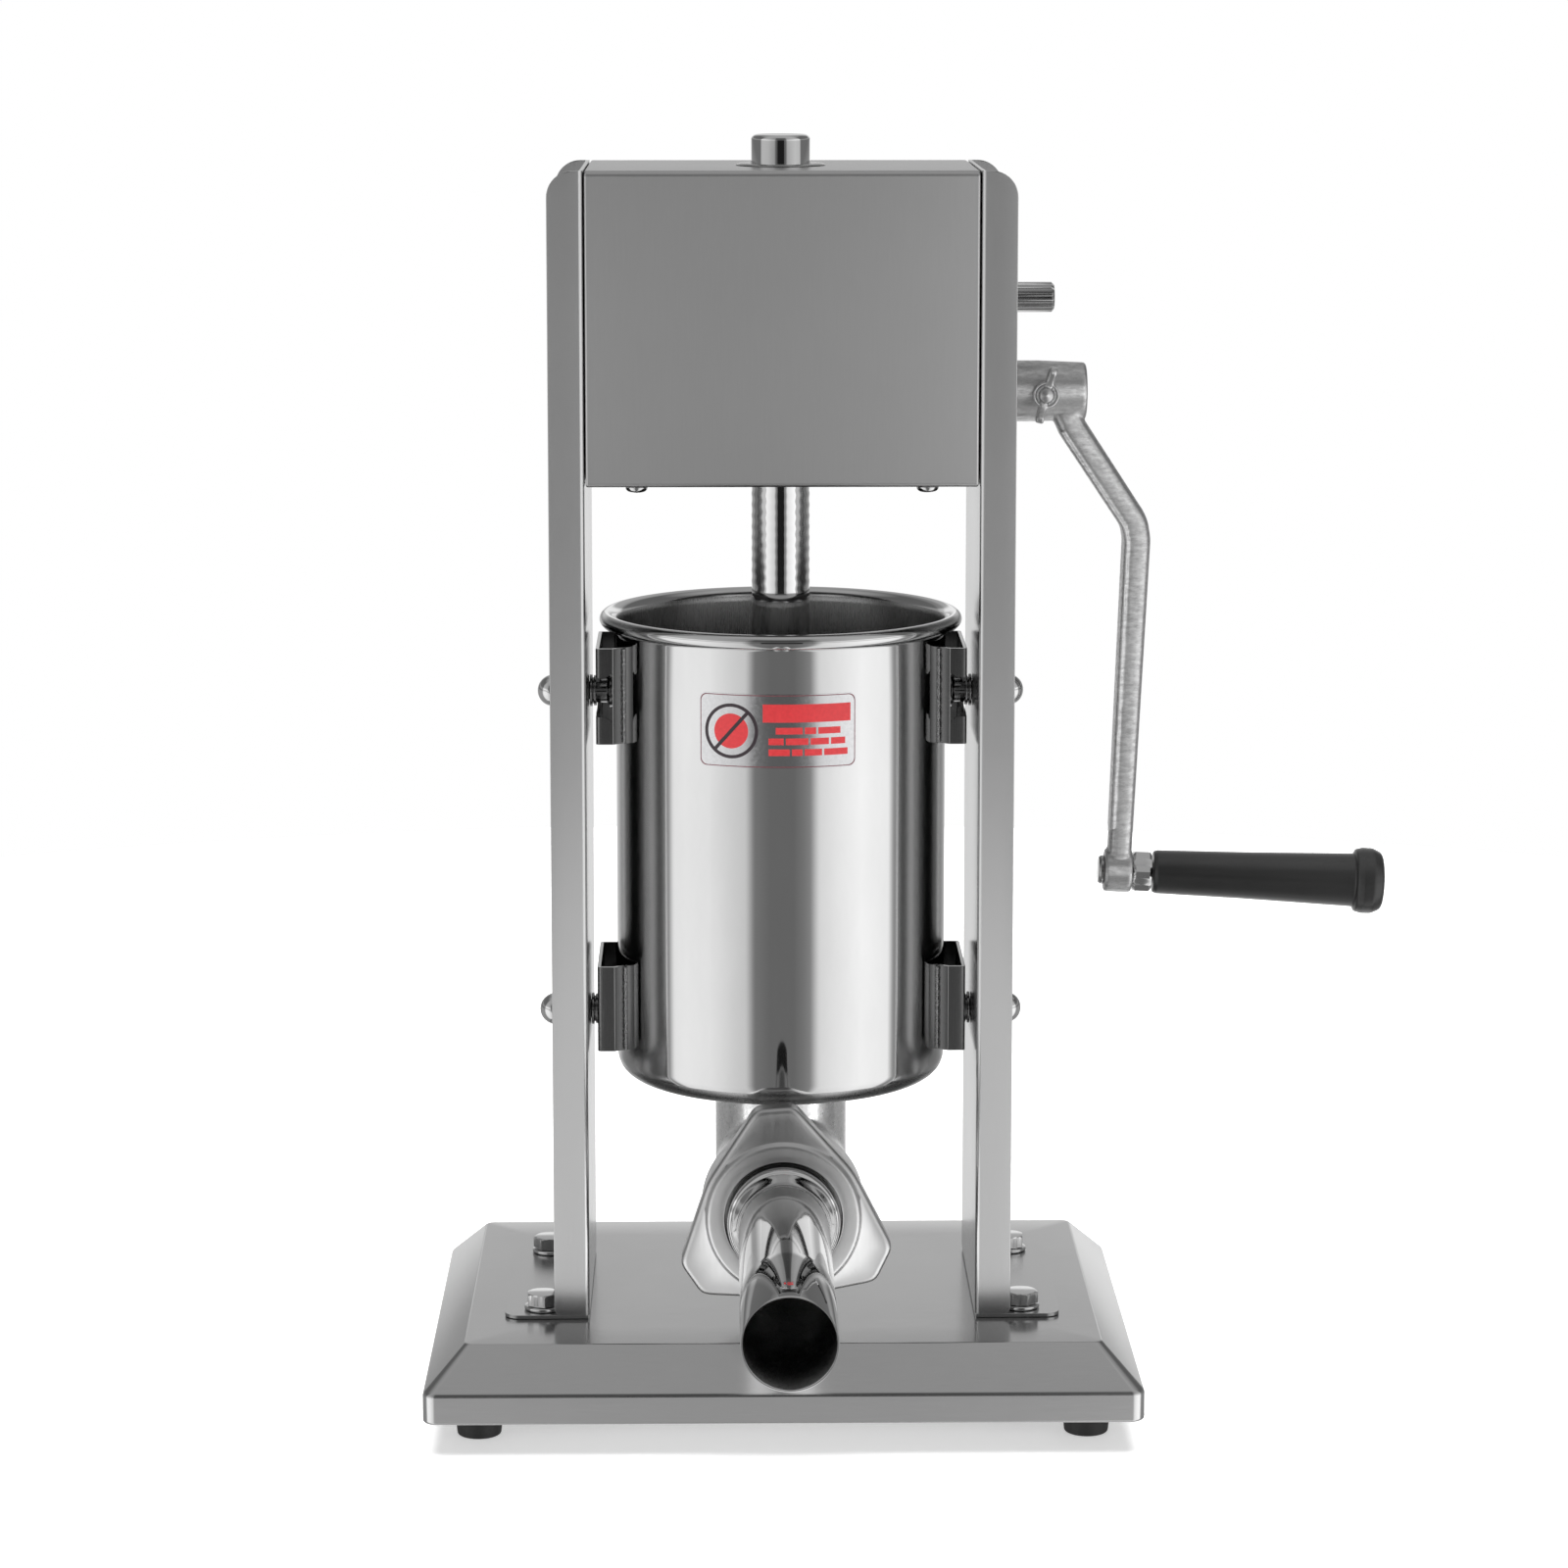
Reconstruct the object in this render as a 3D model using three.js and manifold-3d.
// Hand-cranked vertical sausage stuffer, two-speed, millimetres, +Z up, front towards -Y.
// It is drawn about the barrel's axis (x = 0, y = 0) and then moved so that the origin is
// at the bottom centre of the whole machine's bounding box.
import * as THREE from 'three';
import { mergeVertices } from 'three/addons/utils/BufferGeometryUtils.js';
import Module from 'manifold-3d';

const wasm = await Module();
wasm.setup();

// ---- driving dimensions ----------------------------------------------------------------
const CLEAR = 0.2;                    // gap between pieces that touch
const RUN = 0.08;                     // radial clearance of a running fit
const ORIGIN_X = 57;                  // bounding box centre, seen from the barrel's axis
const ORIGIN_Y = -73.5;

const BASE = { halfX: 151, front: -106, back: 115, low: 14.5, skirt: 27.5, top: 44.5, slope: 17,
               sheet: 1.5, lip: 34, corner: 8 };
const FOOT = { x: 129, y: { front: -71, back: 80 }, r: 10.5, stud: 4.7, dome: 6.6, tip: 4.2, rise: 7 };
const NUT_STRIP = { half: 10, past: 12, thick: 5 };
const UP = { web: 82.4, out: 97.5, halfY: 54, top: 533.4, sheet: 1.5, tabOut: 118.8, round: 11, bend: 2.5,
             tabRound: 6 };
const BOLT = { x: 102.7, y: 43.5, r: 4, flats: 13, head: 5.3, washer: 8, washerT: 1.6, end: 36 };
const BOX = { halfX: 81.9, halfY: 53.5, low: 402, sheet: 1.2, lip: 13, bend: 2 };
const BOX_SCREW = { x: 60.8, y: 46.5, r: 2, head: 4.7, headH: 2.6, long: 9 };
const GUIDE = { r: 15, flange: 19 };  // sleeve round the rod, and its flange

const SHAFT_Y = 19;
const SHAFT_R = 6.5;
const FAST_Z = 476;
const SLOW_Z = 435.5;
const MODULE = 1.5;
const PRESSURE = 25 * Math.PI / 180;
const BACKLASH = 0.18;
const RACK_TEETH = 14;                // teeth of the pinion that drives the rack
const DRIVE_TEETH = 38;
const SLOW_TEETH = 16;
const GEAR_X = 26;                    // inner face of the drive gear
const GEAR_WIDTH = 12;

const ROD = { r: 12.5, top: 546.4, low: 150, pitchY: 8.5, flatLow: 232, flatTop: 495,
              rackLow: 270, rackTop: 490 };
const BARREL = { r: 71, wall: 1.2, low: 140.3, round: 10, rim: 339.8, bead: 3.3, beadR: 74.7 };
const BARREL_FACETS = 28;
const ROD_FACETS = 16;
const PISTON = { low: 146.5, height: 14, r: 68, seal: 69.4, groove: 3 };

const ELBOW = { r: 28.5, bore: 22, z: 98, end: -74, top: 140.1, back: 29 };
const NUT = { front: -90, back: -62, hole: 24.6, ring: 31.5, skirt: 35, plate: 6, lobe: 47, lobeHalf: 8,
              lobeT: 12, turn: 4.3 };
const NOZZLE = { r: 19, wall: 1, front: -262, flange: 27.4, bead: 23.6 };

const BRACKET = { web: 79, sheet: 1.5, halfY: 26, bendX: 71.8 };
const STUD_R = 4;
const BUSH_R = 8.5;
const BUSH_FACETS = 14;
const UPPER = { low: 288.8, top: 330, z: 308.1 };
const LOWER = { low: 154.9, top: 191.9, z: 167.9 };

const CRANK = { hubIn: 99, hubOut: 132, rIn: 13.25, rOut: 12.25, screwX: 113.5, tilt: 2.6 * Math.PI / 180 };
const SCREW_TURN = 15 * Math.PI / 180;                 // the upper wing leans to +x
const GRIP_Z = 224.7;                 // height of the grip's axis at GRIP_X
const GRIP_X = 148;
const AXLE_R = 4;
const AXLE_FACETS = 12;

// ---- helpers: meshes -------------------------------------------------------------------
const v2 = (x, y) => new THREE.Vector2(x, y);

// A point-only geometry of one closed body, from any three.js geometry.
function bare(geometry) {
  const g = geometry.clone();
  g.deleteAttribute('normal');
  g.deleteAttribute('uv');
  return mergeVertices(g, 1e-4);
}

function solid(geometry) {
  const g = bare(geometry);
  const mesh = new wasm.Mesh({
    numProp: 3,
    vertProperties: new Float32Array(g.attributes.position.array),
    triVerts: new Uint32Array(g.index.array),
  });
  mesh.merge();
  return new wasm.Manifold(mesh);
}

function toGeometry(manifold) {
  const mesh = manifold.getMesh();
  const g = new THREE.BufferGeometry();
  g.setAttribute('position', new THREE.BufferAttribute(new Float32Array(mesh.vertProperties), 3));
  g.setIndex(new THREE.BufferAttribute(new Uint32Array(mesh.triVerts), 1));
  g.computeVertexNormals();
  return g;
}

const join = (...parts) => toGeometry(parts.map(solid).reduce((a, b) => a.add(b)));
const cut = (body, ...tools) => toGeometry(tools.map(solid).reduce((a, b) => a.subtract(b), solid(body)));
const overlap = (a, b) => toGeometry(solid(a).intersect(solid(b)));

const box = (x0, x1, y0, y1, z0, z1) =>
  new THREE.BoxGeometry(x1 - x0, y1 - y0, z1 - z0).translate((x0 + x1) / 2, (y0 + y1) / 2, (z0 + z1) / 2);

// Facets round a turned piece of radius r, and the radius of a hole's corners that lets r turn in it.
const facets = (r) => 2 * Math.round(3 + 1.1 * Math.sqrt(r));
const holeR = (r, count) => r / Math.cos(Math.PI / count);

// Turned piece: the profile is [radius, height] pairs about the axis +Z.
const turned = (profile, count = facets(Math.max(...profile.map(([r]) => r)))) =>
  new THREE.LatheGeometry(profile.map(([r, z]) => v2(r, z)), count).rotateX(Math.PI / 2);

// The same, with its axis along +X or -Y (height h becomes x = h, or y = -h).
const turnedX = (profile, count) => turned(profile, count).rotateY(Math.PI / 2);
const turnedY = (profile, count) => turned(profile, count).rotateX(Math.PI / 2);

const bar = (r, z0, z1, count) => turned([[0, z0], [r, z0], [r, z1], [0, z1]], count);
const barX = (r, x0, x1, count) => turnedX([[0, x0], [r, x0], [r, x1], [0, x1]], count);
const barY = (r, y0, y1, count) => turnedY([[0, -y1], [r, -y1], [r, -y0], [0, -y0]], count);

const ringOf = (inner, outer, z0, z1) => [[inner, z0], [outer, z0], [outer, z1], [inner, z1], [inner, z0]];

// Plate: an outline of [x, y] pairs (or a Shape) extruded from z0 to z1.
function plate(outline, z0, z1) {
  const shape = outline instanceof THREE.Shape ? outline : new THREE.Shape(outline.map(([x, y]) => v2(x, y)));
  return new THREE.ExtrudeGeometry(shape, { depth: z1 - z0, bevelEnabled: false, curveSegments: 8 })
    .translate(0, 0, z0);
}

// The outline's x and y become y and z, and the plate runs from x0 to x1.
const plateX = (outline, x0, x1) => plate(outline, x0, x1).rotateX(Math.PI / 2).rotateZ(Math.PI / 2);
// The outline's x and y become x and z, and the plate runs from y0 to y1.
const plateY = (outline, y0, y1) => plate(outline, -y1, -y0).rotateX(Math.PI / 2);

function hexagon(flats) {
  const r = flats / Math.sqrt(3);
  return Array.from({ length: 6 }, (_, i) => [r * Math.cos(i * Math.PI / 3), r * Math.sin(i * Math.PI / 3)]);
}

// Arc of [x, y] points about (cx, cy), in degrees.
function arc(cx, cy, r, from, to, steps) {
  return Array.from({ length: steps + 1 }, (_, i) => {
    const a = (from + (to - from) * i / steps) * Math.PI / 180;
    return [cx + r * Math.cos(a), cy + r * Math.sin(a)];
  });
}

// Rectangle with round corners, anticlockwise.
function roundRect(x0, x1, y0, y1, r, steps = 3) {
  return [...arc(x1 - r, y0 + r, r, -90, 0, steps), ...arc(x1 - r, y1 - r, r, 0, 90, steps),
          ...arc(x0 + r, y1 - r, r, 90, 180, steps), ...arc(x0 + r, y0 + r, r, 180, 270, steps)];
}

// Closed body through a row of rings of points, each ring anticlockwise about the row's direction.
function loft(rings) {
  const n = rings[0].length;
  const index = [];
  for (let k = 0; k + 1 < rings.length; k++) {
    for (let i = 0; i < n; i++) {
      const j = (i + 1) % n;
      const [a, b, c, d] = [k * n + i, k * n + j, (k + 1) * n + j, (k + 1) * n + i];
      index.push(a, b, c, a, c, d);
    }
  }
  const last = (rings.length - 1) * n;
  for (let i = 1; i + 1 < n; i++) {
    index.push(0, i + 1, i);
    index.push(last, last + i, last + i + 1);
  }
  const g = new THREE.BufferGeometry();
  g.setAttribute('position', new THREE.Float32BufferAttribute(rings.flat(2), 3));
  g.setIndex(index);
  return g;
}

// ---- helpers: materials and the machine ------------------------------------------------
const finishes = {
  brushed: { color: 0x9c9c9c, metalness: 1, roughness: 0.35 },
  polished: { color: 0xc8c8c8, metalness: 1, roughness: 0.08 },
  chrome: { color: 0xd6d6d6, metalness: 1, roughness: 0.05 },
  cast: { color: 0xb4b4b2, metalness: 0.9, roughness: 0.45 },
  steel: { color: 0x8c8c8c, metalness: 1, roughness: 0.3 },
  dark: { color: 0x3c3c3c, metalness: 0.8, roughness: 0.4 },
  nylon: { color: 0xe4e2da, metalness: 0, roughness: 0.5 },
  rubber: { color: 0x141414, metalness: 0, roughness: 0.8 },
  black: { color: 0x0c0c0c, metalness: 0, roughness: 0.2 },
};

const machine = new THREE.Group();
machine.position.set(-ORIGIN_X, -ORIGIN_Y, 0);

function add(name, geometry, finish) {
  const mesh = new THREE.Mesh(geometry, new THREE.MeshStandardMaterial(finishes[finish]));
  mesh.name = name;
  machine.add(mesh);
  return mesh;
}

const sides = [['left', -1], ['right', 1]];
const ends = [['front', -1], ['back', 1]];
const corners = ends.flatMap(([end, y]) => sides.map(([side, x]) => [`${end}_${side}`, x, y]));

// Mirror a geometry in x, keeping its faces pointing out.
function sided(geometry, sx) {
  if (sx > 0) return geometry;
  const g = bare(geometry).scale(-1, 1, 1);
  const order = g.index.array;
  for (let i = 0; i < order.length; i += 3) [order[i], order[i + 1]] = [order[i + 1], order[i]];
  return g;
}

// ---- base ------------------------------------------------------------------------------
function basePan() {
  const { halfX, front, back, low, skirt, top, slope, sheet, lip, corner } = BASE;
  const ring = (inset, z, r) =>
    roundRect(-halfX + inset, halfX - inset, front + inset, back - inset, r, 3).map(([x, y]) => [x, y, z]);
  const inner = sheet * 0.6;          // how far the inner slope steps in, level with the outer one
  const shell = loft([
    ring(sheet + slope - inner + 1, top - sheet, corner - 3),
    ring(sheet + inner - 0.9, skirt - 0.6, corner - 2),
    ring(sheet, low + sheet, corner - 2), ring(lip, low + sheet, corner - 4),
    ring(lip, low, corner - 4), ring(1, low, corner - 1), ring(0, low + 1, corner),
    ring(0, skirt, corner), ring(slope, top, corner - 2),
  ]);
  const boltHoles = corners.map(([, x, y]) => bar(BOLT.r + 0.4, 40, 50).translate(x * BOLT.x, y * BOLT.y, 0));
  const footHoles = corners.map(([name, x]) =>
    bar(FOOT.stud + 0.3, low - 1, low + 3).translate(x * FOOT.x, FOOT.y[name.split('_')[0]], 0));
  return cut(shell, ...boltHoles, ...footHoles);
}

// A rubber foot: its neck goes through the pan's lip, and a dome above the lip holds it there.
function foot() {
  const { r, stud, dome, tip, rise } = FOOT;
  const under = BASE.low - CLEAR;
  const over = BASE.low + BASE.sheet + CLEAR;
  return turned([[0, 0], [r - 1.5, 0], [r - 0.4, 1.2], [r, BASE.low - 2.5], [r - 1.2, under], [stud, under],
    [stud, over], [dome, over], [tip, BASE.low + rise], [0, BASE.low + rise]]);
}

function baseBolt() {
  const { r, flats, head, washerT, end } = BOLT;
  const seat = BASE.top + UP.sheet + washerT + 3 * CLEAR;
  const corner = flats / Math.sqrt(3);
  const chamfered = overlap(plate(hexagon(flats), seat, seat + head),
    turned([[0, seat - 0.1], [corner, seat - 0.1], [corner, seat + head - 0.6], [corner - 1.1, seat + head],
            [0, seat + head]]));
  return join(chamfered, bar(r, end, seat + 1));
}

add('base_pan', basePan(), 'brushed');
for (const [name, x, y] of corners) {
  add(`foot_${name}`, foot(), 'rubber').position.set(x * FOOT.x, FOOT.y[name.split('_')[0]], 0);
  add(`base_bolt_${name}`, baseBolt(), 'polished').position.set(x * BOLT.x, y * BOLT.y, 0);
  const seat = BASE.top + 2 * CLEAR + UP.sheet;
  const washer = turned(ringOf(BOLT.r + 0.3, BOLT.washer, seat, seat + BOLT.washerT));
  add(`base_washer_${name}`, washer, 'polished').position.set(x * BOLT.x, y * BOLT.y, 0);
}
for (const [side, x] of sides) {
  const top = BASE.top - BASE.sheet - CLEAR;
  const { half, past, thick } = NUT_STRIP;
  const strip = plate(roundRect(-half, half, -BOLT.y - past, BOLT.y + past, 3, 2), top - thick, top);
  const holes = ends.map(([, y]) => bar(BOLT.r + RUN, top - thick - 1, top + 1).translate(0, y * BOLT.y, 0));
  add(`nut_strip_${side}`, cut(strip, ...holes), 'steel').position.set(x * BOLT.x, 0, 0);
}

// ---- uprights --------------------------------------------------------------------------
function upright() {
  const { web, out, halfY, top, sheet, tabOut, round, bend, tabRound } = UP;
  const low = BASE.top + CLEAR;
  const inner = bend - sheet;
  const section = [[out, -halfY], [out, -halfY + sheet],
    ...arc(web + bend, -halfY + bend, inner, 270, 180, 2),
    ...arc(web + bend, halfY - bend, inner, 180, 90, 2), [out, halfY - sheet], [out, halfY],
    ...arc(web + bend, halfY - bend, bend, 90, 180, 3), ...arc(web + bend, -halfY + bend, bend, 180, 270, 3)];
  const channel = plate(section, low, top);
  const tab = plate([[web + 0.6, -halfY], ...arc(tabOut - tabRound, -halfY + tabRound, tabRound, -90, 0, 3),
    ...arc(tabOut - tabRound, halfY - tabRound, tabRound, 0, 90, 3), [web + 0.6, halfY]], low, low + sheet);
  // The top outer corners of both flanges are rounded off together.
  const corner = plateY([[out + 1, top - round], ...arc(out - round, top - round, round, 0, 90, 4),
    [out - round, top + 1], [out + 1, top + 1]], -halfY - 1, halfY + 1);
  const holes = [
    ...[FAST_Z, SLOW_Z].map((z) =>
      barX(BUSH_R + 0.3, web - 1, web + 3, BUSH_FACETS).translate(0, SHAFT_Y, z)),
    ...[UPPER.z, LOWER.z].map((z) => barX(STUD_R + 0.2, web - 1, web + 3).translate(0, 0, z)),
    ...ends.map(([, y]) => bar(BOLT.r + 0.4, low - 1, low + 3).translate(BOLT.x, y * BOLT.y, 0)),
  ];
  return cut(join(channel, tab), corner, ...holes);
}

for (const [side, x] of sides) add(`upright_${side}`, sided(upright(), x), 'brushed');

// ---- gearbox casing --------------------------------------------------------------------
const screwPlaces = corners.map(([name, x, y]) => [name, x * BOX_SCREW.x, y * BOX_SCREW.y]);

function gearboxCover() {
  const { halfX, halfY, low, sheet, lip, bend } = BOX;
  const top = UP.top;
  const inner = bend - sheet;
  const bent = [
    [-halfY + lip, low], ...arc(-halfY + bend, low + bend, bend, 270, 180, 2),
    ...arc(-halfY + bend, top - bend, bend, 180, 90, 3),
    ...arc(halfY - bend, top - bend, bend, 90, 0, 3),
    ...arc(halfY - bend, low + bend, bend, 0, -90, 2), [halfY - lip, low], [halfY - lip, low + sheet],
    ...arc(halfY - bend, low + bend, inner, -90, 0, 2), ...arc(halfY - bend, top - bend, inner, 0, 90, 2),
    ...arc(-halfY + bend, top - bend, inner, 90, 180, 2),
    ...arc(-halfY + bend, low + bend, inner, 180, 270, 2),
    [-halfY + lip, low + sheet],
  ].reverse();
  const screws = screwPlaces.map(([, x, y]) => bar(BOX_SCREW.r + 0.3, low - 1, low + 3).translate(x, y, 0));
  return cut(plateX(bent, -halfX, halfX), bar(GUIDE.r + 0.3, top - 3, top + 3, ROD_FACETS), ...screws);
}

function gearboxFloor() {
  const low = BOX.low + BOX.sheet + CLEAR;
  const halfX = BOX.halfX - 0.3;
  const halfY = BOX.halfY - BOX.sheet - 1.6;
  const floor = box(-halfX, halfX, -halfY, halfY, low, low + UP.sheet);
  const turnUps = sides.map(([, x]) =>
    sided(box(halfX - UP.sheet, halfX, -halfY, halfY, low, low + 14), x));
  const screws = screwPlaces.map(([, x, y]) => bar(BOX_SCREW.r + 0.2, low - 1, low + 3).translate(x, y, 0));
  return cut(join(floor, ...turnUps), bar(GUIDE.r + 0.3, low - 1, low + 3, ROD_FACETS), ...screws);
}

add('gearbox_cover', gearboxCover(), 'brushed');
add('gearbox_floor', gearboxFloor(), 'brushed');

// Pan head screw from below, with a cross recess.
function boxScrew() {
  const { r, head, headH, long } = BOX_SCREW;
  const seat = BOX.low - CLEAR;
  const low = seat - headH;
  const screw = turned([[0, low], [head * 0.55, low + 0.15], [head * 0.9, low + 0.9], [head, seat - 0.7],
    [head, seat], [r, seat], [r, seat + long], [0, seat + long]]);
  const slot = box(-0.45, 0.45, -2.2, 2.2, low - 1, low + 1);
  return cut(screw, slot, slot.clone().rotateZ(Math.PI / 2));
}
for (const [name, x, y] of screwPlaces) {
  add(`gearbox_screw_${name}`, boxScrew(), 'polished').position.set(x, y, 0);
}

// Each guide is a flanged sleeve in its hole, and the rod runs in it.
function guide(sleeveLow, flangeLow, rimTop, top, topR) {
  const bore = ROD.r + RUN;
  const { r, flange } = GUIDE;
  return turned([[bore, sleeveLow], [r, sleeveLow], [r, flangeLow], [flange, flangeLow],
    [flange, rimTop], [topR, top], [bore, top], [bore, sleeveLow]], ROD_FACETS);
}
const floorTop = BOX.low + BOX.sheet + CLEAR + UP.sheet;
const guideLow = UP.top + CLEAR;
add('rod_guide_top',
  guide(UP.top - 10, guideLow, guideLow + 0.5, guideLow + 0.8, GUIDE.flange - 0.4), 'dark');
const sleeveBase = floorTop + CLEAR;
add('rod_guide_bottom', guide(floorTop - 3, sleeveBase, sleeveBase + 1.2, floorTop + 8, GUIDE.r + 2), 'dark');

// ---- gear train ------------------------------------------------------------------------
const involute = (a) => Math.tan(a) - a;

// Outline of an external gear, a tooth centred on angle "at" (radians, from +x towards +y).
function gearOutline(teeth, at) {
  const pitch = MODULE * teeth / 2;
  const baseR = pitch * Math.cos(PRESSURE);
  const root = pitch - 1.25 * MODULE;
  const tip = pitch + MODULE;
  const half = (Math.PI * MODULE / 2 - BACKLASH) / (2 * pitch);
  const halfAt = (r) => half + involute(PRESSURE) - involute(Math.acos(Math.min(1, baseR / r)));
  const radii = [Math.max(baseR, root), tip];
  const points = [];
  for (let i = 0; i < teeth; i++) {
    const middle = at + i * 2 * Math.PI / teeth;
    const put = (r, a) => points.push([r * Math.cos(a), r * Math.sin(a)]);
    put(root, middle - halfAt(radii[0]) * 1.04);
    for (const r of radii) put(r, middle - halfAt(r));
    for (const r of [...radii].reverse()) put(r, middle + halfAt(r));
    put(root, middle + halfAt(radii[0]) * 1.04);
  }
  const gap = ([x, y], [u, v]) => Math.hypot(x - u, y - v);
  return points.filter((p, i) => i === 0 || gap(p, points[i - 1]) > 0.02);
}

// A gear on a shaft along X: keyed bore, with a hub on one side.
function gear(teeth, at, x0, x1, hubX, hubR) {
  const wheel = plateX(gearOutline(teeth, at), x0, x1);
  const hub = barX(hubR, Math.min(x0 + 1, hubX), Math.max(x1 - 1, hubX));
  return cut(join(wheel, hub), barX(SHAFT_R + CLEAR, x0 - 40, x1 + 40));
}

// A tooth of the rack pinion points at the rack (towards -y); one of the drive gear points down at a
// gap of the slow pinion.
const rackPinion = gear(RACK_TEETH, Math.PI, -7, 7, -16, 9);
add('rack_pinion', rackPinion, 'steel').position.set(0, SHAFT_Y, FAST_Z);
const driveGear = gear(DRIVE_TEETH, -Math.PI / 2, GEAR_X, GEAR_X + GEAR_WIDTH, GEAR_X + GEAR_WIDTH + 8, 13);
add('drive_gear', driveGear, 'steel').position.set(0, SHAFT_Y, FAST_Z);
const slowPinion = gear(SLOW_TEETH, Math.PI / 2 + Math.PI / SLOW_TEETH,
  GEAR_X - 0.5, GEAR_X + GEAR_WIDTH + 2.5, GEAR_X + GEAR_WIDTH + 10, 9);
add('slow_pinion', slowPinion, 'steel').position.set(0, SHAFT_Y, SLOW_Z);

const SHAFT_IN = -87;
const STUB_OUT = 118.5;
const SPLINE = { depth: 0.8, grooves: 10, halfWidth: 0.9 };

// Shaft with a splined outer end, where the crank's hub can go.
function splinedShaft(x0, splineX, x1) {
  const { depth, grooves: count, halfWidth } = SPLINE;
  const plain = turnedX([[0, x0], [SHAFT_R - 0.6, x0], [SHAFT_R, x0 + 0.6], [SHAFT_R, x1 - 1],
    [SHAFT_R - 1, x1], [0, x1]]);
  const grooves = Array.from({ length: count }, (_, i) =>
    box(splineX, x1 + 1, -halfWidth, halfWidth, SHAFT_R - depth, SHAFT_R + 2)
      .rotateX(i * 2 * Math.PI / count));
  return cut(plain, ...grooves);
}

const fastShaft = splinedShaft(SHAFT_IN, UP.out + 2, STUB_OUT);
add('fast_shaft', fastShaft, 'steel').position.set(0, SHAFT_Y, FAST_Z);
const slowShaft = splinedShaft(SHAFT_IN, UP.out + 3, CRANK.hubOut - 2.5);
add('slow_shaft', slowShaft, 'steel').position.set(0, SHAFT_Y, SLOW_Z);

const bushBore = holeR(SHAFT_R + RUN / 2, BUSH_FACETS);
const bushProfile = [
  [bushBore, UP.web - 4], [10.5, UP.web - 4], [10.5, UP.web - CLEAR], [BUSH_R, UP.web - CLEAR],
  [BUSH_R, UP.web + 3.5], [bushBore, UP.web + 3.5], [bushBore, UP.web - 4]];
for (const [side, x] of sides) {
  for (const [speed, z] of [['fast', FAST_Z], ['slow', SLOW_Z]]) {
    const bush = sided(turnedX(bushProfile, BUSH_FACETS), x);
    add(`shaft_bush_${speed}_${side}`, bush, 'nylon').position.set(0, SHAFT_Y, z);
  }
}

// ---- rod and piston --------------------------------------------------------------------
const rackPitch = Math.PI * MODULE;

function pistonRod() {
  const { r, top, low, pitchY, flatLow, flatTop, rackLow, rackTop } = ROD;
  const round = 2.2;
  const rod = turned([[0, low], [r, low], [r, top - round], [r - 0.7, top - 0.7], [r - round, top], [0, top]],
    ROD_FACETS);
  const tipY = pitchY + MODULE;
  const rootY = pitchY - 1.25 * MODULE;
  const slant = Math.tan(PRESSURE);
  // Outline of everything that is milled away, as [y, z]; a tooth gap stands at the fast shaft's height.
  const away = [[r + 1, flatLow], [tipY, flatLow]];
  const firstGap = Math.ceil((rackLow - FAST_Z) / rackPitch);
  const lastGap = Math.floor((rackTop - FAST_Z) / rackPitch);
  for (let k = firstGap; k <= lastGap; k++) {
    const z = FAST_Z + k * rackPitch;
    const half = (y) => (rackPitch + BACKLASH) / 4 + (y - pitchY) * slant;
    const [tip, root] = [half(tipY), half(rootY)];
    away.push([tipY, z - tip], [rootY, z - root], [rootY, z + root], [tipY, z + tip]);
  }
  away.push([tipY, flatTop], [r + 1, flatTop]);
  return cut(rod, plateX(away, -r - 1, r + 1), bar(4.2, low - 1, low + 24));
}

add('piston_rod', pistonRod(), 'chrome');

const PLATE_TOP = PISTON.low + PISTON.height;
const VALVE_X = 42;
const grooveR = PISTON.r - PISTON.groove;
const plateProfile = [
  [0, PISTON.low], [PISTON.r - 1, PISTON.low], [PISTON.r, PISTON.low + 1], [PISTON.r, PISTON.low + 4],
  [grooveR, PISTON.low + 4], [grooveR, PISTON.low + 9], [PISTON.r, PISTON.low + 9],
  [PISTON.r, PISTON.low + 11], [PISTON.r - 6, PISTON.low + 12], [20, PISTON.low + 12],
  [18, PLATE_TOP + 4], [0, PLATE_TOP + 4],
];

function pistonPlate() {
  const socket = bar(ROD.r + CLEAR, ROD.low - CLEAR, PLATE_TOP + 6, ROD_FACETS);
  const valveHole = bar(4, PISTON.low - 1, PLATE_TOP).translate(-VALVE_X, 0, 0);
  const valveSeat = bar(8, PISTON.low - 1, PISTON.low + 5).translate(-VALVE_X, 0, 0);
  const bolt = bar(4.3, PISTON.low - 1, ROD.low + 1);
  const boltHead = bar(8, PISTON.low - 1, PISTON.low + 0.5);
  return cut(turned(plateProfile, BARREL_FACETS), socket, valveHole, valveSeat, bolt, boltHead);
}

add('piston_plate', pistonPlate(), 'polished');
const sealLow = PISTON.low + 4 + CLEAR;
const sealTop = sealLow + 4.6;
const sealIn = PISTON.r - PISTON.groove + CLEAR;
add('piston_seal', turned([[sealIn, sealLow], [PISTON.r - 0.4, sealLow], [PISTON.seal, sealLow + 0.8],
  [PISTON.seal, sealTop - 1.4], [PISTON.r - 0.4, sealTop], [sealIn, sealTop], [sealIn, sealLow]],
  BARREL_FACETS), 'rubber');

// The valve lets air past the piston. It hangs by its cap, and pressure lifts its head into the recess.
const VALVE_TRAVEL = 3;
const capLow = PISTON.low + 12 + CLEAR / 2;
const headTop = PISTON.low + 5 - CLEAR - VALVE_TRAVEL;
const valve = turned([[0, headTop - 4], [7, headTop - 4], [7.4, headTop - 3], [7.4, headTop], [3.6, headTop],
  [3.6, capLow], [6.5, capLow], [6.5, capLow + 1.6], [5, capLow + 2.4], [0, capLow + 2.4]]);
add('air_valve', valve, 'nylon').position.set(-VALVE_X, 0, 0);

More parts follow.
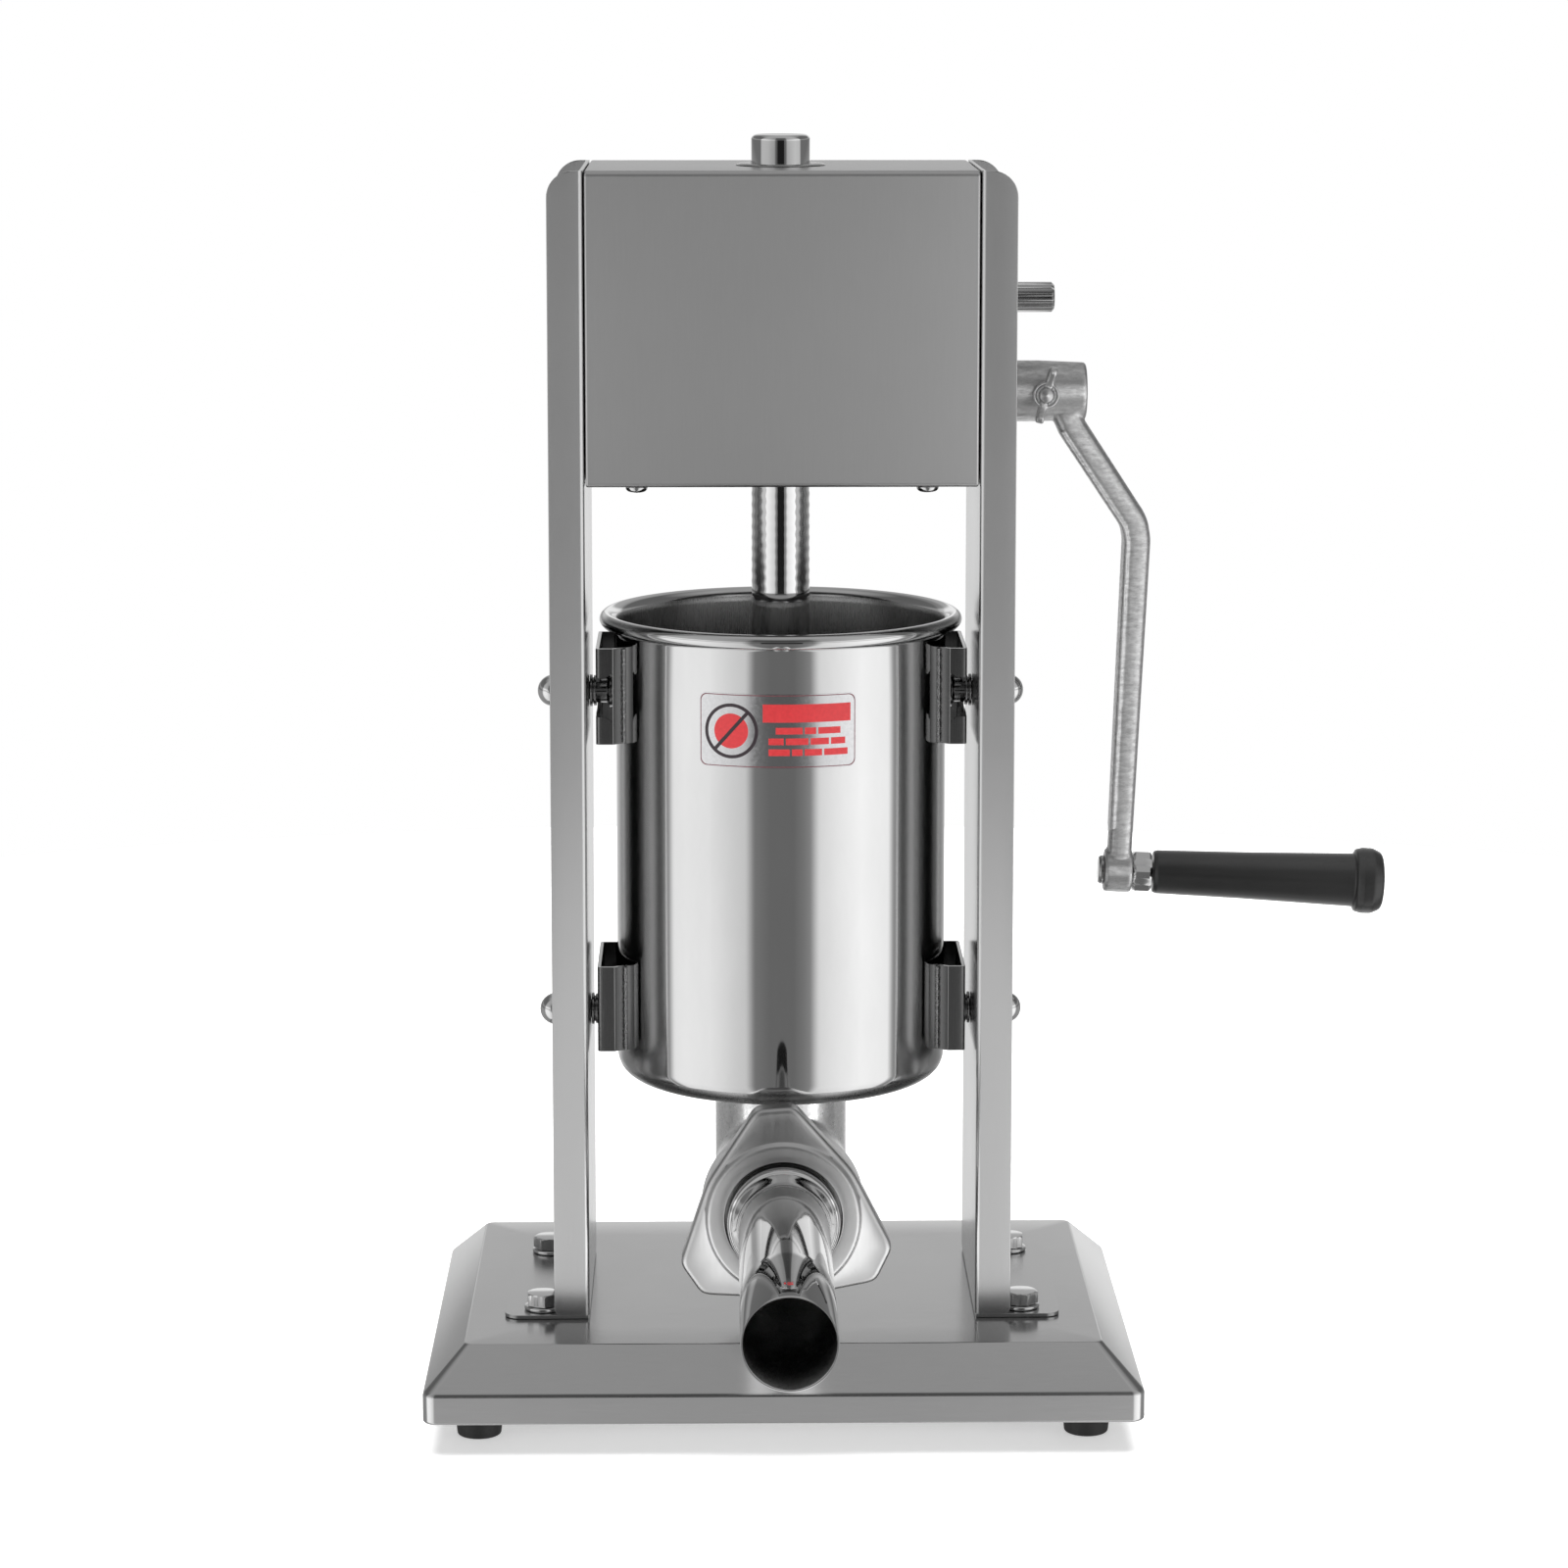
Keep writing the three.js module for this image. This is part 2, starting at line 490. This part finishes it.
// ---- barrel ----------------------------------------------------------------------------
function barrel() {
  const { r, wall, low, round, rim, bead, beadR } = BARREL;
  const inside = r - wall;
  const mouth = ELBOW.bore - 1;
  // Up the outside, round the rolled rim, and down the inside.
  const profile = [
    [mouth, low], ...arc(r - round, low + round, round, -90, 0, 3), [r, rim - 3.6],
    ...arc(beadR, rim, bead, 215, 480, 6), [inside, rim + 0.8],
    ...arc(r - round, low + round, round - wall, 0, -90, 3), [mouth, low + wall], [mouth, low],
  ];
  return turned(profile, BARREL_FACETS);
}
add('barrel', barrel(), 'polished');

function outletElbow() {
  const { r, bore, z, end, top, back } = ELBOW;
  const outer = join(bar(r, z, top), barY(r, end, back - 12).translate(0, 0, z),
    turnedY([[0, 0], [r, 0], [r - 2.5, 7], [r - 9, 12], [0, 12]]).rotateZ(Math.PI)
      .translate(0, back - 12, z));
  const passage = join(bar(bore, z, top + 1), barY(bore, end - 1, 14).translate(0, 0, z));
  // The outer end carries a coarse round thread, drawn as plain rings.
  const rings = Array.from({ length: 2 }, (_, i) =>
    turnedY(ringOf(r - 1.2, r + 1, 0, 2)).translate(0, end + 13.5 + i * 4, z));
  return cut(outer, passage, ...rings);
}
add('outlet_elbow', outletElbow(), 'brushed');

// ---- brackets, studs and acorn nuts ----------------------------------------------------
// Each bracket is a U whose web stands beside the upright. Its two flanges bend in to the barrel's wall.
// The upper ones are open at the front, so that the barrel hooks on to its studs.
function bracket(level, open) {
  const { web, sheet, halfY, bendX } = BRACKET;
  const reach = (y) => Math.sqrt((BARREL.r + CLEAR) ** 2 - y * y);
  const touch = halfY - 3.1;
  const inner = halfY - sheet;
  const back = [[web, halfY], [bendX, halfY], [reach(touch), touch], [reach(touch - 1.2), touch - 1.2],
    [bendX + 0.4, inner], [web - sheet, inner]];
  const front = back.map(([x, y]) => [x, -y]).reverse();
  const tools = [barX(STUD_R + 1.6, web - 3, web + 1).translate(0, 0, level.z)];
  if (open) {
    tools.push(box(web - 3, web + 1, -halfY - 1, 0, level.z - 6.8, level.z + 6.8));
    tools.push(plateY([[web + 1, level.z - 7.5], [web + 1, level.z + 9.4], [74.5, level.z + 9.4],
      [71.9, level.z + 11.4], [71.9, level.z - 9.7], [74.5, level.z - 7.5]], -halfY - 1, -inner + 1));
  }
  return cut(plate([...back, ...front], level.low, level.top), ...tools);
}

// The stud's collar stands between the upright and the bracket, its roller in the bracket's hollow.
function pivotStud() {
  const { web } = BRACKET;
  const collar = plateX(hexagon(13), web + CLEAR, UP.web - CLEAR);
  const hollow = web - BRACKET.sheet - 0.4;
  const shank = turnedX([[0, 71.9], [6.6, 71.9], [7.4, 72.5], [7.4, 73.8], [5.4, 74.4], [5.4, hollow],
    [STUD_R + 1.2, hollow], [STUD_R + 1.2, web + 0.4], [STUD_R, web + 0.6], [STUD_R, UP.web + 9],
    [0, UP.web + 9]]);
  return join(collar, shank);
}

function acornNut() {
  const seat = UP.web + UP.sheet + CLEAR;
  const tip = 104.7;
  const hex = overlap(plateX(hexagon(13), seat, seat + 7),
    turnedX([[0, seat - 0.1], [6.5, seat - 0.1], [7.5, seat + 0.8], [7.5, seat + 8], [0, seat + 8]]));
  const dome = turnedX([[0, seat + 2], [6.9, seat + 2],
    ...arc(0, tip - 6.9, 6.9, 0, 60, 2), [0, tip]]);
  return cut(join(hex, dome), barX(STUD_R + CLEAR, seat - 1, UP.web + 10));
}

for (const [side, x] of sides) {
  for (const [name, level, notch] of [['upper', UPPER, true], ['lower', LOWER, false]]) {
    add(`bracket_${name}_${side}`, sided(bracket(level, notch), x), 'dark');
    add(`pivot_stud_${name}_${side}`, sided(pivotStud(), x), 'steel').position.set(0, 0, level.z);
    add(`acorn_nut_${name}_${side}`, sided(acornNut(), x), 'polished').position.set(0, 0, level.z);
  }
}

// ---- nozzle ----------------------------------------------------------------------------
const nutSeat = NUT.front + NUT.plate;                 // back of the nut's front plate
function nozzle() {
  const { r, wall, front, flange, bead } = NOZZLE;
  const back = nutSeat + CLEAR;
  // [radius, y], the outside from the front end back to the flange, and the inside forward again.
  const outside = [[r, front], [r, -104], [r + 0.6, -100], [r + 2, -96.5], [bead - 0.8, -93], [bead, -90.5],
    [bead, back], [flange, back], [flange, back + 1.6]];
  const inside = [[bead - wall, back + 1.6], [bead - wall, -90.5], [r + 1.2, -95.5], [r - 0.4, -99.5],
    [r - wall, -104], [r - wall, front]];
  return turnedY([...outside, ...inside, [r, front]].map(([radius, y]) => [radius, -y]).reverse());
}
add('nozzle', nozzle(), 'chrome').position.set(0, 0, ELBOW.z);

const gasketBack = ELBOW.end - CLEAR;
const gasketFront = nutSeat + 1.6 + 2 * CLEAR;
add('nozzle_gasket', turnedY(ringOf(ELBOW.bore + 1, NOZZLE.flange, -gasketBack, -gasketFront)), 'rubber')
  .position.set(0, 0, ELBOW.z);

function nozzleNut() {
  const { front, back, hole, ring, skirt, plate: thick, lobe, lobeHalf, lobeT, turn } = NUT;
  const body = turnedY([[0, -back], [skirt - 1, -back], [skirt, -back + 1], [skirt, -front - 3],
    [ring + 1, -front - 1.4], [ring, -front], [0, -front]]);
  // Three wings, each a tapered arm with a rounded flat end.
  const wings = [90, 210, 330].map((a) => {
    const outline = [[0, -26], [lobe - 16, -14], [lobe - 5, -lobeHalf],
      ...arc(lobe - 2.5, -lobeHalf + 2.5, 2.5, -90, 0, 2), ...arc(lobe - 2.5, lobeHalf - 2.5, 2.5, 0, 90, 2),
      [lobe - 5, lobeHalf], [lobe - 16, 14], [0, 26]];
    return plateY(outline, front + 2.4, front + 2.4 + lobeT).rotateY(-a * Math.PI / 180);
  });
  const thread = barY(ELBOW.r + 0.4, nutSeat, back + 1);
  const mouth = barY(hole, front - 1, nutSeat + 1);
  return cut(join(body, ...wings), thread, mouth).rotateY(-turn * Math.PI / 180);
}
add('nozzle_nut', nozzleNut(), 'cast').position.set(0, 0, ELBOW.z);

// ---- crank -----------------------------------------------------------------------------
// The arm is drawn in the plane of its face, [x, z], and runs down from the hub to the grip's boss.
function crankArm() {
  const { hubIn, hubOut, rIn, rOut, screwX, tilt } = CRANK;
  const hub = turnedX([[0, hubIn], [rIn - 0.8, hubIn], [rIn, hubIn + 0.8], [rIn, hubIn + 10],
    [rOut, hubOut - 1.2], [rOut - 1.2, hubOut], [0, hubOut]]).translate(0, 0, SLOW_Z);
  const arm = plateY([[118.5, 424], [120.3, 415.4], [147.5, 377.8], [148.7, 372.8], [143.3, 232],
    [146, 229], [153, 229], [154.5, 234], [160.9, 372], [158.9, 380.2], [130, 423.5]], -8, 8);
  const rim = plateY([[119, 422], [120.3, 415.4], [147.5, 377.8], [148.7, 372.8], [143.3, 236],
    [146.3, 236], [151.8, 373.4], [150.4, 379], [123.5, 417]], -9.5, 9.5);
  const boss = turnedX([[0, -6], [8.6, -6], [9.5, -5.2], [9.5, 5.2], [8.6, 6], [0, 6]])
    .rotateY(tilt).translate(GRIP_X, 0, GRIP_Z);
  const shaftHole = barX(SHAFT_R + CLEAR, hubIn - 1, hubOut - 2.2).translate(0, 0, SLOW_Z);
  const screwHole = barY(3.2, -14, 0).translate(screwX, 0, SLOW_Z);
  const axleHole = barX(AXLE_R + CLEAR, -8, 8, AXLE_FACETS).rotateY(tilt).translate(GRIP_X, 0, GRIP_Z);
  return cut(join(hub, arm, rim, boss), shaftHole, screwHole, axleHole);
}
add('crank_arm', crankArm(), 'cast').position.set(0, SHAFT_Y, 0);

// The wing screw clamps the hub on the shaft's spline, from the front.
function wingScrew() {
  const tip = SHAFT_R + 0.5;
  const pin = turnedY([
    [0, tip], [2.9, tip], [2.9, 13.8], [5.4, 13.8], [5.4, 20], [4, 22.5], [4, 24], [0, 24]]);
  const wing = [[-24.4, 9.5], [-23.5, 12.2], [-20, 12.6], [-16, 11], [-14.6, 8], [-15, 2],
    [-21, 2], [-22, 6]];
  const lower = wing.map(([y, z]) => [y, -z]).reverse();
  return join(pin, plateX(wing, -1.7, 1.7), plateX(lower, -1.7, 1.7)).rotateY(SCREW_TURN);
}
add('wing_screw', wingScrew(), 'cast').position.set(CRANK.screwX, SHAFT_Y, SLOW_Z);

// Everything on the handle lies on one axis that tilts down a little: x = 0 is the middle of the arm's boss.
function onGripAxis(mesh) {
  mesh.rotation.set(0, CRANK.tilt, 0);
  mesh.position.set(GRIP_X, SHAFT_Y, GRIP_Z);
}
const HANDLE_END = 116.48;
const axle = turnedX([[0, -8.6], [5.8, -8.6], [6.4, -8], [6.4, -6 - CLEAR], [AXLE_R, -6 - CLEAR],
  [AXLE_R, HANDLE_END - 14], [0, HANDLE_END - 14]], AXLE_FACETS);
onGripAxis(add('handle_axle', axle, 'steel'));
const lockHex = overlap(plateX(hexagon(17), 6.4, 14.4),
  turnedX([[0, 6.3], [8.6, 6.3], [9.8, 7.3], [9.8, 13.5], [8.6, 14.5], [0, 14.5]]));
const lockNut = cut(lockHex, barX(AXLE_R + CLEAR, 0, 20, AXLE_FACETS));
onGripAxis(add('handle_lock_nut', lockNut, 'polished'));
const gripOutside = [
  [7.6, 15.2], [8.9, 15.5], [9.45, 16.6], [10.3, 60], [11.8, 103.6], [13.2, 104], [14.3, 105.4],
  [14.4, 108], [14.2, 112], [12.8, 115], [9, HANDLE_END], [0, HANDLE_END],
];
const gripBore = AXLE_R + 2 * CLEAR;
const grip = turnedX([[gripBore, 15.2], ...gripOutside, [0, HANDLE_END - 12], [gripBore, HANDLE_END - 12],
  [gripBore, 15.2]]);
onGripAxis(add('handle_grip', grip, 'black'));

const object = new THREE.Group();
object.add(machine);
export default object;
